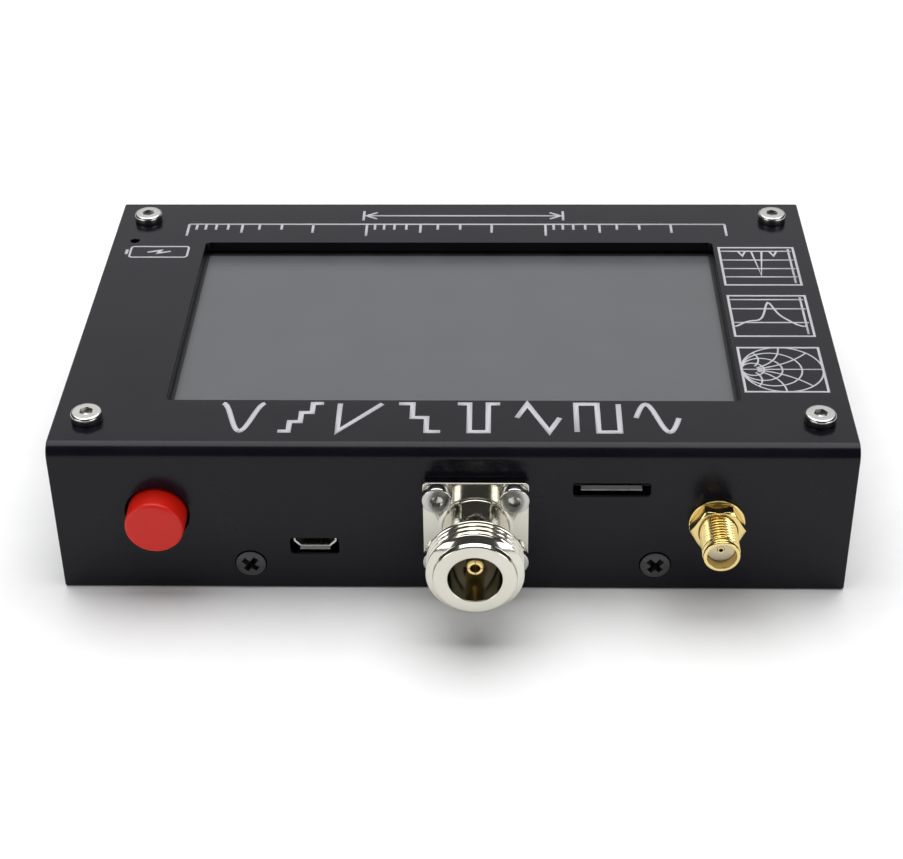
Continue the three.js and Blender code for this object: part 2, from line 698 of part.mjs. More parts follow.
// A lead from the battery's end to the charge board, in one smooth run.
function batteryLead(offset) {
  const path = new THREE.CatmullRomCurve3([
    new THREE.Vector3(BATTERY.right + GAP, -6 + offset, 6.5),
    new THREE.Vector3(10, -6 + offset, 6.5),
    new THREE.Vector3(14, -2 + offset, 7.4),
    new THREE.Vector3(18 - offset, 5, 9.2),
    new THREE.Vector3(19 - offset, 11, 9.2),
    new THREE.Vector3(19 - offset, 14, 8.8),
  ]);
  return solid(new THREE.ExtrudeGeometry(polygon(8, 1.2), {
    steps: 20, bevelEnabled: false, extrudePath: path,
  }));
}

// The board, with a nose under the charging port that reaches past the tray's tab.
function chargeBoard() {
  const { left, right, front, back, top, thick } = CHARGE_BOARD;
  const noseRight = CASE_SCREW.x - TAB.width / 2 - 0.5;
  return join(
    block([left, front, top - thick], [right, back, top]),
    block([left, front, top - thick], [noseRight, WALL_INSIDE - 0.4, top]),
  );
}

// Two rails and a cross bar that carry the charge board above the tray.
function chargeBracket() {
  const { left, right, front, back, top, thick } = CHARGE_BOARD;
  const low = SHEET + SEAT;
  const high = top - thick - SEAT;
  const rail = 3;
  const clearOfTab = CASE_SCREW.x - TAB.width / 2 - 1;
  return join(
    block([left, front, low], [left + rail, back - 2, high]),
    block([right - rail, front, low], [right, back - 2, high]),
    block([left, front, low], [right, front + rail, high]),
    block([clearOfTab - rail, front, low], [clearOfTab, back - 2, high]),
  );
}

function addPower() {
  const cell = roundedRect(BATTERY.right - BATTERY.left, BATTERY.back - BATTERY.front, 2,
    (BATTERY.right + BATTERY.left) / 2, (BATTERY.back + BATTERY.front) / 2);
  const pack = prism('z', cell, BATTERY.bottom, BATTERY.bottom + BATTERY.thick);
  addPiece(analyzer, 'battery_pack', 'foil', pack);
  addPiece(analyzer, 'battery_lead_red', 'redWire', batteryLead(0));
  addPiece(analyzer, 'battery_lead_black', 'blackWire', batteryLead(-2.5));
  addPiece(analyzer, 'charge_board', 'blackCircuit', chargeBoard());
  addPiece(analyzer, 'charge_board_bracket', 'blackPlastic', chargeBracket());
}

addCase();
addPowerSwitch();
addAntennaJack();
addSmallJack();
addPorts();
addCardSocket();
addDisplay();
addRadio();
addPower();

export default analyzer;
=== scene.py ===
"""The looks of a handheld vector network analyzer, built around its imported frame. In metres, +Z up.

The reader looks from the -Y side, and the signal connectors stand on the +Y wall.
"""

import math

import bmesh
import bpy
from mathutils import Matrix, Vector


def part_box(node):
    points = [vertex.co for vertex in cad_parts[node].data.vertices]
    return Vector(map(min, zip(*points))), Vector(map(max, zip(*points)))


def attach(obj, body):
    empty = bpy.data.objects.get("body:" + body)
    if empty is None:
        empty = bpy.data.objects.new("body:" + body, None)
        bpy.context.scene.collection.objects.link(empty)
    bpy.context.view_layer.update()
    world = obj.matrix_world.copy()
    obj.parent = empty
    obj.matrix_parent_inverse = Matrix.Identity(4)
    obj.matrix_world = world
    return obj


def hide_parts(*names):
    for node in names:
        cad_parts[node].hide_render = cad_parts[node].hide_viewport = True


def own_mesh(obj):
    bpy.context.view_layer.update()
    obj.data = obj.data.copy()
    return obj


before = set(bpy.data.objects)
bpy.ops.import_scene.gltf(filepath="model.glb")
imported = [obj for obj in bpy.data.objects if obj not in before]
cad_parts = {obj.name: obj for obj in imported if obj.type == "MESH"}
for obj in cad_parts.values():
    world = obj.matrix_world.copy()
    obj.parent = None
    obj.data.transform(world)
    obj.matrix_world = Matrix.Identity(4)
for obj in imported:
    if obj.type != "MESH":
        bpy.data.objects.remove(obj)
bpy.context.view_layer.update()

# ---- Driving dimensions -----------------------------------------------------

MM = 0.001
FULL_TURN = 2 * math.pi

SHEET = 2 * MM
BEND = 2.4 * MM  # outer radius of the sheet's bends
CUT_EDGE = 0.22 * MM  # rounding of the sheet's cut edges
LIFT = 0.05 * MM  # kept clear under each piece that is seated on the sheet

COVER_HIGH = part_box("top_cover")[1]
TRAY_LOW, TRAY_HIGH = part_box("base_tray")
GLASS_LOW, GLASS_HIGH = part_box("screen_glass")
WALL = COVER_HIGH.y  # outer face of the connector wall
TOP = COVER_HIGH.z
WINDOW = Vector((96.8, 54.4)) * MM
WINDOW_Y = (GLASS_LOW.y + GLASS_HIGH.y) / 2
LIGHT_HOLE = Vector((62.3, -26.4)) * MM
CARD_SLOT = Vector((-26.4, 20.8)) * MM  # along the connector wall and up it

FOUR = (1, 2, 3, 4)  # each kind of fastener comes in fours
CORE = 1.25 * MM  # radius of an M3 screw's core
CLEARANCE = 1.55 * MM  # radius of the hole that it passes through
SINK = 2.66 * MM  # widest radius of the countersinks for the case screws


def centre_of(node):
    low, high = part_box(node)
    return (low + high) / 2


# ---- Lines and loops in a plane ---------------------------------------------


def rounded(corners, closed=True, steps=6):
    """Corners (x, y) or (x, y, radius) as plain points, with an arc at each corner that has a radius."""
    points = []
    for i, (x, y, *radius) in enumerate(corners):
        corner = Vector((x, y))
        at_end = not closed and i in (0, len(corners) - 1)
        if at_end or not radius or radius[0] == 0:
            points.append(corner)
            continue
        back = (Vector(corners[i - 1][:2]) - corner).normalized()
        ahead = (Vector(corners[(i + 1) % len(corners)][:2]) - corner).normalized()
        half = back.angle(ahead) / 2
        centre = corner + (back + ahead).normalized() * radius[0] / math.sin(half)
        start = corner + back * radius[0] / math.tan(half) - centre
        end = corner + ahead * radius[0] / math.tan(half) - centre
        sweep = math.atan2(start.cross(end), start.dot(end))
        points += [centre + Matrix.Rotation(sweep * step / steps, 2) @ start for step in range(steps + 1)]
    return points


def rectangle(width, height, radius, x=0, y=0):
    right, left = x + width / 2, x - width / 2
    top, bottom = y + height / 2, y - height / 2
    corners = [(left, bottom), (right, bottom), (right, top), (left, top)]
    return rounded([(*corner, radius) for corner in corners])


def circle(radius, x=0, y=0, steps=64):
    angles = [FULL_TURN * i / steps for i in range(steps)]
    return [Vector((x + radius * math.cos(a), y + radius * math.sin(a))) for a in angles]


def grown(loop, distance):
    """An anticlockwise loop moved outwards by a distance, or inwards by a negative one."""
    moved = []
    for i, point in enumerate(loop):
        before = (point - loop[i - 1]).normalized()
        after = (loop[(i + 1) % len(loop)] - point).normalized()
        out_before = Vector((before.y, -before.x))
        out_after = Vector((after.y, -after.x))
        out = (out_before + out_after).normalized()
        moved.append(point + out * distance / out.dot(out_before))
    return moved


# ---- Meshes -----------------------------------------------------------------


def plate(outline, holes, thickness, edge):
    """A plate in the xy plane from z 0 up to its thickness, with all its cut edges rounded."""
    drawing = bpy.data.curves.new("drawing", "CURVE")
    drawing.dimensions = "2D"
    drawing.fill_mode = "BOTH"
    drawing.extrude = thickness / 2 - edge
    drawing.bevel_depth = edge
    drawing.bevel_resolution = 2
    for loop in [grown(outline, -edge)] + [grown(hole, edge) for hole in holes]:
        spline = drawing.splines.new("POLY")
        spline.points.add(len(loop) - 1)
        spline.use_cyclic_u = True
        for point, (x, y) in zip(spline.points, loop):
            point.co = (x, y, 0, 1)
    holder = bpy.data.objects.new("drawing", drawing)
    mesh = bpy.data.meshes.new_from_object(holder)
    bpy.data.objects.remove(holder)
    bpy.data.curves.remove(drawing)
    mesh.transform(Matrix.Translation((0, 0, thickness / 2)))
    bm = bmesh.new()
    bm.from_mesh(mesh)
    bmesh.ops.remove_doubles(bm, verts=bm.verts, dist=edge / 50)
    bmesh.ops.recalc_face_normals(bm, faces=bm.faces)
    bm.to_mesh(mesh)
    bm.free()
    return mesh


def at_angle(size, angle):
    return size(angle) if callable(size) else size


def even_angles(count=96):
    return [FULL_TURN * i / count for i in range(count)]


def revolved(rings, angles=None, joined=False, whole=True):
    """A skin round the z axis through rings of (radius, height). Both may be functions of the angle.

    A radius of 0 closes the skin on the axis. joined ties the last ring to the first. A skin
    that isn't whole covers only its angles, and its two ends are closed.
    """
    angles = angles or even_angles()
    bm = bmesh.new()
    loops = []
    for radius, height in rings:
        if radius == 0:
            loops.append([bm.verts.new((0, 0, height))])
            continue
        loop = []
        for angle in angles:
            r = at_angle(radius, angle)
            z = at_angle(height, angle)
            loop.append(bm.verts.new((r * math.cos(angle), r * math.sin(angle), z)))
        loops.append(loop)
    pairs = list(zip(loops, loops[1:]))
    if joined:
        pairs.append((loops[-1], loops[0]))
    steps = len(angles) if whole else len(angles) - 1
    for low, high in pairs:
        for i in range(steps):
            j = (i + 1) % len(angles)
            corners = [low[i % len(low)], low[j % len(low)], high[j % len(high)], high[i % len(high)]]
            bm.faces.new(list(dict.fromkeys(corners)))
    if not whole:
        bm.faces.new([loop[0] for loop in loops])
        bm.faces.new([loop[-1] for loop in loops])
    bmesh.ops.recalc_face_normals(bm, faces=bm.faces)
    return mesh_from(bm)


def mesh_from(bm):
    mesh = bpy.data.meshes.new("mesh")
    bm.to_mesh(mesh)
    bm.free()
    return mesh


def turned(corners, joined=False):
    """A turned piece from (radius, height) corners, each with a fillet radius if it has a third size."""
    return revolved([tuple(point) for point in rounded(corners, closed=joined)], joined=joined)


def tube(points, radius):
    """A round wire through points, with closed ends."""
    sides = 10
    spokes = [Vector((radius * math.cos(a), radius * math.sin(a), 0)) for a in even_angles(sides)]
    bm = bmesh.new()
    loops = []
    for i, point in enumerate(points):
        ahead = points[min(i + 1, len(points) - 1)] - points[max(i - 1, 0)]
        turn = ahead.to_track_quat("Z", "Y")
        loops.append([bm.verts.new(point + turn @ spoke) for spoke in spokes])
    for low, high in zip(loops, loops[1:]):
        for i in range(sides):
            j = (i + 1) % sides
            bm.faces.new([low[i], low[j], high[j], high[i]])
    bm.faces.new(loops[0][::-1])
    bm.faces.new(loops[-1])
    bmesh.ops.recalc_face_normals(bm, faces=bm.faces)
    return mesh_from(bm)


def brick(low, high, edge):
    """A block with rounded edges between two corners."""
    low, high = Vector(low), Vector(high)
    size = high - low
    outline = rectangle(size.x, size.y, edge, size.x / 2, size.y / 2)
    mesh = plate(outline, [], size.z, min(edge, size.z / 3))
    mesh.transform(Matrix.Translation(low))
    return mesh


def moved(mesh, matrix):
    mesh.transform(matrix)
    return mesh


def together(*meshes):
    bm = bmesh.new()
    for mesh in meshes:
        bm.from_mesh(mesh)
        bpy.data.meshes.remove(mesh)
    return mesh_from(bm)


def on_wall(node):
    """Places a piece that points up +z so that it points out of a bent-down wall, at a node's centre."""
    place = centre_of(node)
    side = math.copysign(1, place.y)
    point_out = Matrix.Rotation(-side * math.pi / 2, 4, "X")
    return Matrix.Translation((place.x, side * WALL, place.z)) @ point_out


# ---- Materials --------------------------------------------------------------


def node_material(name):
    """A material with its shader, a maker of noise patterns, and what lets a pattern drive the shader."""
    material = bpy.data.materials.new(name)
    material.use_nodes = True
    tree = material.node_tree
    shader = tree.nodes["Principled BSDF"]
    place = tree.nodes.new("ShaderNodeTexCoord")

    def noise(size, detail):
        """A noise pattern whose blotches are about this size, in metres."""
        texture = tree.nodes.new("ShaderNodeTexNoise")
        texture.inputs["Scale"].default_value = 1 / size
        texture.inputs["Detail"].default_value = detail
        tree.links.new(place.outputs["Object"], texture.inputs["Vector"])
        return texture.outputs["Fac"]

    def colour(pattern, dark, light):
        ramp = tree.nodes.new("ShaderNodeValToRGB")
        ramp.color_ramp.elements[0].position = 0.3
        ramp.color_ramp.elements[0].color = (*dark, 1)
        ramp.color_ramp.elements[1].position = 0.7
        ramp.color_ramp.elements[1].color = (*light, 1)
        tree.links.new(pattern, ramp.inputs["Fac"])
        tree.links.new(ramp.outputs["Color"], shader.inputs["Base Color"])

    def roughness(pattern, low, high):
        spread = tree.nodes.new("ShaderNodeMapRange")
        spread.inputs["From Min"].default_value = 0.3
        spread.inputs["From Max"].default_value = 0.7
        spread.inputs["To Min"].default_value = low
        spread.inputs["To Max"].default_value = high
        tree.links.new(pattern, spread.inputs["Value"])
        tree.links.new(spread.outputs["Result"], shader.inputs["Roughness"])

    def bumps(pattern, height):
        bump = tree.nodes.new("ShaderNodeBump")
        bump.inputs["Distance"].default_value = height
        bump.inputs["Strength"].default_value = 1
        tree.links.new(pattern, bump.inputs["Height"])
        tree.links.new(bump.outputs["Normal"], shader.inputs["Normal"])

    return material, shader, noise, colour, roughness, bumps


def surface(name, dark, light, rough, metallic=0, specular=0.5, grain=0.4 * MM, relief=0.002 * MM):
    """A finish that varies between two colours and two roughnesses, over a fine grain."""
    material, shader, noise, colour, roughness, bumps = node_material(name)
    shader.inputs["Metallic"].default_value = metallic
    shader.inputs["Specular IOR Level"].default_value = specular
    clouds, smears = 12 * MM, 6 * MM
    colour(noise(clouds, 4), dark, light)
    roughness(noise(smears, 3), *rough)
    bumps(noise(grain, 2), relief)
    return material


def shade(*values):
    """A grey, or a red-green-blue colour, as three linear values from 0..255 sRGB ones."""
    if len(values) == 1:
        values = values * 3
    return tuple((value / 255) ** 2.2 for value in values)


FINISH = {
    "case_black": surface("black_anodised_sheet", shade(20, 20, 26), shade(24, 24, 30), (0.18, 0.24),
                          specular=0.2, grain=0.12 * MM, relief=0.001 * MM),
    "stainless": surface("stainless_steel", shade(184), shade(198, 197, 193), (0.18, 0.26), 1),
    "black_steel": surface("black_steel", shade(62), shade(74, 74, 76), (0.3, 0.4), 0.6),
    "red_plastic": surface("red_plastic", shade(196, 22, 9), shade(204, 30, 13), (0.36, 0.44),
                           specular=0.35),
    "black_plastic": surface("black_plastic", shade(22), shade(30), (0.45, 0.6)),
    # The warm yellow tint is painted reflection of the gold parts around the insulators. The plastic itself
    # is plain white.
    "white_plastic": surface("white_plastic", shade(236, 228, 206), shade(244, 238, 220), (0.4, 0.5)),
    "nickel": surface("nickel_plate", shade(202, 199, 187), shade(214, 211, 200), (0.1, 0.16), 1),
    "gold": surface("gold_plate", shade(224, 200, 132), shade(234, 211, 148), (0.16, 0.26), 1),
    "tinned": surface("tinned_steel", shade(186), shade(204, 204, 202), (0.25, 0.36), 1),
    "brass": surface("brass", shade(196, 164, 88), shade(208, 178, 104), (0.3, 0.4), 1),
    "screen": surface("screen_film", shade(81, 82, 85), shade(84, 85, 88), (0.3, 0.34),
                      grain=0.05 * MM, relief=0.0005 * MM),
    "circuit_green": surface("green_board", shade(12, 70, 44), shade(18, 84, 54), (0.4, 0.5)),
    "circuit_black": surface("black_board", shade(20, 21, 24), shade(28, 29, 33), (0.4, 0.5)),
    "cell_foil": surface("cell_foil", shade(176, 180, 186), shade(196, 199, 204), (0.3, 0.42), 0.6),
    "red_wire": surface("red_wire", shade(176, 20, 20), shade(190, 30, 28), (0.4, 0.5)),
    "black_wire": surface("black_wire", shade(18), shade(26), (0.4, 0.5)),
    "dull_tin": surface("dull_tin", shade(134), shade(144, 144, 142), (0.5, 0.6), 0.3),
    "satin_tin": surface("satin_tin", shade(196), shade(206, 206, 200), (0.45, 0.55), 0.4),
    "print_white": surface("white_print", shade(176, 176, 181), shade(186, 186, 191), (0.5, 0.6)),
    "floor": surface("pale_floor", shade(240), shade(244), (0.7, 0.8)),
}


# ---- Pieces -----------------------------------------------------------------


def smoothed(piece, angle):
    """Rounded faces shade smoothly and flat ones stay flat."""
    piece.data.shade_smooth()
    piece.data.set_sharp_from_angle(angle=math.radians(angle))
    weights = piece.modifiers.new("weighted_normals", "WEIGHTED_NORMAL")
    weights.keep_sharp = True


def add(name, mesh, finish, *nodes, body="case", angle=35):
    """Shows a mesh that rides on a body, for the CAD nodes that it stands for."""
    piece = bpy.data.objects.new(name, mesh)
    mesh.name = name
    mesh.materials.append(FINISH[finish])
    bpy.context.scene.collection.objects.link(piece)
    smoothed(piece, angle)
    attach(piece, body)
    if nodes:
        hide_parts(*nodes)
    return piece


# ---- Bent sheets ------------------------------------------------------------


def along_pattern(half_flat, drop):
    """Distance from a flat pattern's middle to a place on its end, which drops this far when bent down."""
    return half_flat + BEND * math.pi / 2 + drop - BEND


def folded(mesh, half_flat):
    """Bends a flat pattern down at both ends of y. Its outer face is at z 0."""
    steps = 12
    arc = BEND * math.pi / 2
    bm = bmesh.new()
    bm.from_mesh(mesh)
    for side in (-1, 1):
        for step in range(steps + 1):
            line = (0, side * (half_flat + arc * step / steps), 0)
            everything = bm.verts[:] + bm.edges[:] + bm.faces[:]
            bmesh.ops.bisect_plane(bm, geom=everything, plane_co=line, plane_no=(0, 1, 0), dist=1e-7)
    for vert in bm.verts:
        side = math.copysign(1, vert.co.y)
        past = abs(vert.co.y) - half_flat
        if past <= 0:
            continue
        turn = min(past / BEND, math.pi / 2)
        radius = BEND + vert.co.z
        straight = max(past - arc, 0)
        vert.co.y = side * (half_flat + radius * math.sin(turn))
        vert.co.z = -BEND + radius * math.cos(turn) - straight
    bm.to_mesh(mesh)
    bm.free()
    return mesh


def bent_sheet(width, half_flat, drop, holes):
    """A sheet bent down at both ends, with its flat part's outer face at z 0."""
    corner = 0.4 * MM
    outline = rectangle(width, 2 * along_pattern(half_flat, drop), corner)
    pattern = plate(outline, holes, SHEET, CUT_EDGE)
    return folded(moved(pattern, Matrix.Translation((0, 0, -SHEET))), half_flat)


def wall_hole(x, z, outline, side=1):
    """A hole outline drawn round (0, 0), at its place on the cover's flat pattern."""
    along = side * along_pattern(WALL - BEND, TOP - z)
    loop = [Vector((x + across, along - side * up)) for across, up in outline]
    return loop[::-1] if side > 0 else loop


def node_hole(node, outline):
    place = centre_of(node)
    return wall_hole(place.x, place.z, outline, math.copysign(1, place.y))


def cover_holes():
    holes = [
        rectangle(WINDOW.x, WINDOW.y, 0.8 * MM, 0, WINDOW_Y),
        circle(0.8 * MM, LIGHT_HOLE.x, LIGHT_HOLE.y, 24),
        node_hole("power_button_cap", circle(5.3 * MM)),
        node_hole("n_jack_insulator", circle(5.6 * MM)),
        node_hole("sma_jack_nut", circle(3.4 * MM)),
        node_hole("micro_usb_shell", rectangle(8.2 * MM, 3.2 * MM, 0.5 * MM, 0, -0.25 * MM)),
        node_hole("mini_usb_shell", rectangle(7.9 * MM, 4.8 * MM, 0.6 * MM)),
        wall_hole(CARD_SLOT.x, CARD_SLOT.y, rectangle(12.7 * MM, 2.5 * MM, 0.4 * MM)),
    ]
    for number in FOUR:
        cover_screw = centre_of(f"cover_screw_{number}")
        holes.append(circle(CLEARANCE, cover_screw.x, cover_screw.y, 32))
        holes.append(node_hole(f"case_screw_{number}", circle(SINK - 0.06 * MM, steps=48)))
        flange_screw = centre_of(f"n_jack_screw_{number}")
        holes.append(wall_hole(flange_screw.x, flange_screw.z, circle(CLEARANCE, steps=32)))
    return holes


def countersink(number):
    """The conical seat of a case screw, as a ring that fills the hole in the sheet."""
    rim, inner_face, cone_end = -0.3 * MM, -SHEET + 0.1 * MM, -1.3 * MM
    ring = turned([
        (SINK, rim), (SINK, inner_face), (CLEARANCE, inner_face), (CLEARANCE, cone_end),
        (SINK - 0.1 * MM, rim),
    ], joined=True)
    return moved(ring, on_wall(f"case_screw_{number}"))


def add_cover():
    sheet = bent_sheet(2 * COVER_HIGH.x, WALL - BEND, TOP, cover_holes())
    moved(sheet, Matrix.Translation((0, 0, TOP)))
    add("cover_sheet", together(sheet, *map(countersink, FOUR)), "case_black", "top_cover")


def tray_tab(number):
    """A tab with a tapped hole that a case screw bites into."""
    screw = centre_of(f"case_screw_{number}")
    side = math.copysign(1, screw.y)
    width, height, corner = 12 * MM, 8.5 * MM, 1 * MM
    hole = circle(CLEARANCE, steps=32)
    tab = plate(rectangle(width, height, corner), [hole], SHEET, CUT_EDGE)
    stand_up = Matrix.Rotation(math.pi / 2, 4, "X")
    outside = TRAY_HIGH.y if side > 0 else TRAY_LOW.y + SHEET
    return moved(tab, Matrix.Translation((screw.x, outside, screw.z)) @ stand_up)


def add_tray():
    sheet = bent_sheet(2 * TRAY_HIGH.y, TRAY_HIGH.x - BEND, TRAY_HIGH.z, [])
    swap_and_flip = Matrix(((0, 1, 0, 0), (1, 0, 0, 0), (0, 0, -1, 0), (0, 0, 0, 1)))
    tray = together(moved(sheet, swap_and_flip), *map(tray_tab, FOUR))
    add("tray_sheet", tray, "case_black", "base_tray")


# ---- Fasteners, made head up with the seat at z 0 ----------------------------


def hexagon(flats):
    """The radius of a hexagon at each angle."""

    def radius(angle):
        return flats / 2 / math.cos(angle % (math.pi / 3) - math.pi / 6)

    return radius


def cross(half_long, half_wide):
    """The radius of a cross at each angle."""

    def radius(angle):
        off_arm = abs((angle + math.pi / 4) % (math.pi / 2) - math.pi / 4)
        side = half_wide / math.sin(off_arm) if off_arm > 1e-6 else half_long
        return min(half_long / math.cos(off_arm), side)

    return radius


def cross_angles(half_long, half_wide):
    """Even angles, with the corners of a cross's arms among them."""
    tip = math.atan(half_wide / half_long)
    corners = [quarter * math.pi / 2 + side * tip for quarter in range(4) for side in (-1, 1)]
    return sorted({angle % FULL_TURN for angle in corners + even_angles(64)})


def key_socket(top, depth, flats):
    """Rings from a head's flat face down into its hexagon socket, which ends in a drilled cone."""
    walls, rim = hexagon(flats), hexagon(flats + 0.1 * MM)
    floor, cone_tip = top - depth - 0.1 * MM, top - depth - 0.35 * MM
    return [(rim, top), (walls, top - 0.05 * MM), (walls, top - depth), (flats * 0.3, floor), (0, cone_tip)]


def socket_screw(head_radius, head_height, crown, shank, socket_depth):
    outside = rounded([
        (0, -shank), (CORE, -shank, 0.2 * MM), (CORE, 0), (head_radius, 0, 0.12 * MM),
        (head_radius, head_height, crown), (head_radius * 0.6, head_height),
    ], closed=False)
    key_flats = 2 * MM
    socket = key_socket(head_height, socket_depth, key_flats)
    return revolved([tuple(point) for point in outside] + socket)


def cross_screw(head_radius, rim, proud, shank):
    """A domed countersunk screw with a cross recess."""
    half_long, half_wide = 1.55 * MM, 0.5 * MM

    def dome(radius):
        return rim + (proud - rim) * (1 - (radius / head_radius) ** 2)

    def recess(scale, depth):
        arm = cross(half_long * scale, half_wide * scale ** 0.5)
        return arm, lambda angle: dome(arm(angle)) - depth

    cone_low, cone_high, tip = -1.25 * MM, -0.02 * MM, proud - 2.5 * MM
    rings = [(0, -shank), (CORE, -shank), (CORE, cone_low), (head_radius, cone_high), (head_radius, rim)]
    rings += [(head_radius * step, dome(head_radius * step)) for step in (0.97, 0.9, 0.8, 0.7)]
    rings += [recess(1.04, 0), recess(1, 0.06 * MM), recess(0.94, 0.9 * MM), recess(0.6, 1.9 * MM)]
    rings.append((0, tip))
    return revolved(rings, cross_angles(half_long, half_wide))


def add_cover_screw(number):
    place = centre_of(f"cover_screw_{number}")
    seat = Matrix.Translation((place.x, place.y, TOP + LIFT))
    turn = Matrix.Rotation(0.4 * number, 4, "Z")
    screw = socket_screw(
        head_radius=2.66 * MM, head_height=1.6 * MM, crown=0.5 * MM, shank=3.9 * MM, socket_depth=0.9 * MM)
    driven = moved(screw, seat @ turn)
    add(f"cover_screw_turned_{number}", driven, "stainless", f"cover_screw_{number}")


def add_case_screw(number):
    seat = on_wall(f"case_screw_{number}") @ Matrix.Translation((0, 0, LIFT))
    turn = Matrix.Rotation(0.5 + 0.1 * number, 4, "Z")
    screw = cross_screw(head_radius=2.5 * MM, rim=0.12 * MM, proud=0.45 * MM, shank=5.2 * MM)
    driven = moved(screw, seat @ turn)
    add(f"case_screw_turned_{number}", driven, "black_steel", f"case_screw_{number}")


def add_screws():
    for number in FOUR:
        add_cover_screw(number)
        add_case_screw(number)


# ---- Threads and nuts -------------------------------------------------------


def thread(crest, depth, pitch, start, end):
    """Rings of a screw thread that runs out at both ends."""
    count = round((end - start) / pitch * 16)
    rings = []
    for i in range(count + 1):
        height = start + (end - start) * i / count
        fade = min(1, (height - start) / pitch * 2, (end - height) / pitch * 2)

        def radius(angle, height=height, fade=fade):
            wave = abs(2 * ((height / pitch - angle / FULL_TURN) % 1) - 1)
            return crest - depth * fade * min(max(wave * 1.3 - 0.15, 0), 1)

        rings.append((radius, height))
    return rings


def nut(flats, low, high, hole):
    """A hexagon nut whose corners are cut by a cone at both faces."""
    outline = hexagon(flats)
    chamfer, steps = 0.35 * MM, 6

    def cut_by_cone(limit):
        return lambda angle: min(outline(angle), limit)

    face_radius = flats / 2 * 0.98
    widest = flats / 2 / math.cos(math.pi / 6)
    cut = widest - face_radius
    slope = [(widest - cut * (1 - i / steps), chamfer * i / steps) for i in range(steps + 1)]
    rings = [(cut_by_cone(limit), low + rise) for limit, rise in slope]
    rings += [(cut_by_cone(limit), high - rise) for limit, rise in reversed(slope)]
    bevel = 0.2 * MM
    rings += [(hole + bevel, high), (hole, high - bevel), (hole, low + bevel), (hole + bevel, low)]
    return revolved(rings, joined=True)


# ---- Antenna jack -----------------------------------------------------------


def jack_barrel():
    """Neck, coupling thread and lip as one turned skin, with its bore."""
    rear_hole, spigot, neck = 2.4 * MM, 5.2 * MM, 5.5 * MM
    bore, lip, crest = 4.4 * MM, 6.8 * MM, 7.95 * MM
    collar = neck + 0.8 * MM
    back, collar_low, collar_high = -4.6 * MM, 0.9 * MM, 1.82 * MM
    thread_low, thread_high, lip_low, reach = 10.4 * MM, 14.5 * MM, 15.15 * MM, 16 * MM
    bore_end = back + 1 * MM
    outside = rounded([
        (rear_hole, back), (spigot, back, 0.2 * MM), (spigot, collar_low), (collar, collar_low),
        (collar, collar_high), (neck, collar_high, 0.5 * MM), (neck, thread_low, 0.3 * MM),
        (crest - 0.6 * MM, thread_low),
    ], closed=False)
    depth, pitch = 0.8 * MM, 1.058 * MM
    ridges = thread(crest, depth, pitch, thread_low + 0.4 * MM, thread_high)
    inside = rounded([
        (crest - 0.35 * MM, thread_high + 0.3 * MM), (lip, lip_low, 0.2 * MM), (lip, reach, 0.35 * MM),
        (bore, reach, 0.18 * MM), (bore, bore_end), (rear_hole, bore_end),
    ], closed=False)
    rings = [tuple(point) for point in outside] + ridges + [tuple(point) for point in inside]
    return revolved(rings, even_angles(144), joined=True)


def jack_flange():
    side, corner, thickness, edge = 17.5 * MM, 0.7 * MM, 1.75 * MM, 0.15 * MM
    pitch, middle_hole = 12.7 * MM, 5.3 * MM
    holes = [circle(CLEARANCE, x * pitch / 2, y * pitch / 2, 32) for x in (-1, 1) for y in (-1, 1)]
    holes.append(circle(middle_hole))
    flange = plate(rectangle(side, side, corner), holes, thickness, edge)
    return moved(flange, Matrix.Translation((0, 0, LIFT)))


def slit_sleeve(inner, outer, low, high, slits, gap):
    """The fingers of a socket contact: a tube split lengthwise."""
    fingers = []
    bevel = (outer - inner) * 0.35
    profile = [(inner, low), (outer, low), (outer, high - bevel), (outer - bevel, high), (inner, high)]
    half_gap = gap / 2 / outer  # as an angle
    steps = 12
    for number in range(slits):
        start = FULL_TURN * number / slits + half_gap
        sweep = FULL_TURN / slits - 2 * half_gap
        angles = [start + sweep * i / steps for i in range(steps + 1)]
        fingers.append(revolved(profile, angles, joined=True, whole=False))
    return together(*fingers)


def jack_contact():
    """A thin tail, a thick rod, and the slit sleeve in front that takes a plug's pin."""
    thin, thick, pin_hole = 0.75 * MM, 1.5 * MM, 0.85 * MM
    tail_end, shoulder, sleeve_low, mouth = -11 * MM, -2.5 * MM, 8.5 * MM, 13 * MM
    rod = turned([
        (0, tail_end), (thin, tail_end, 0.1 * MM), (thin, shoulder), (thick, shoulder),
        (thick, sleeve_low), (0, sleeve_low),
    ])
    return together(rod, slit_sleeve(pin_hole, thick, sleeve_low, mouth, slits=4, gap=0.16 * MM))


def add_antenna_jack():
    place = on_wall("n_jack_insulator")
    add("jack_body_turned", moved(together(jack_barrel(), jack_flange()), place), "nickel", "n_jack_body")
    hole, radius, back, front = 1.85 * MM, 4.1 * MM, -3.3 * MM, 3.6 * MM
    insulator = turned([
        (hole, back), (radius, back), (radius, front, 0.3 * MM), (hole, front, 0.2 * MM),
    ], joined=True)
    add("jack_insulator_turned", moved(insulator, place), "white_plastic", "n_jack_insulator")
    add("jack_contact_turned", moved(jack_contact(), place), "gold", "n_jack_contact")


def add_antenna_jack_screw(number):
    flange_face = 1.9 * MM
    seat = Matrix.Translation((0, 0, flange_face)) @ Matrix.Rotation(0.5 * number, 4, "Z")
    place = on_wall(f"n_jack_screw_{number}") @ seat
    screw = socket_screw(
        head_radius=2.5 * MM, head_height=1.7 * MM, crown=0.3 * MM, shank=7.1 * MM, socket_depth=0.8 * MM)
    add(f"jack_screw_turned_{number}", moved(screw, place), "stainless", f"n_jack_screw_{number}")


# ---- Small coaxial jack -----------------------------------------------------


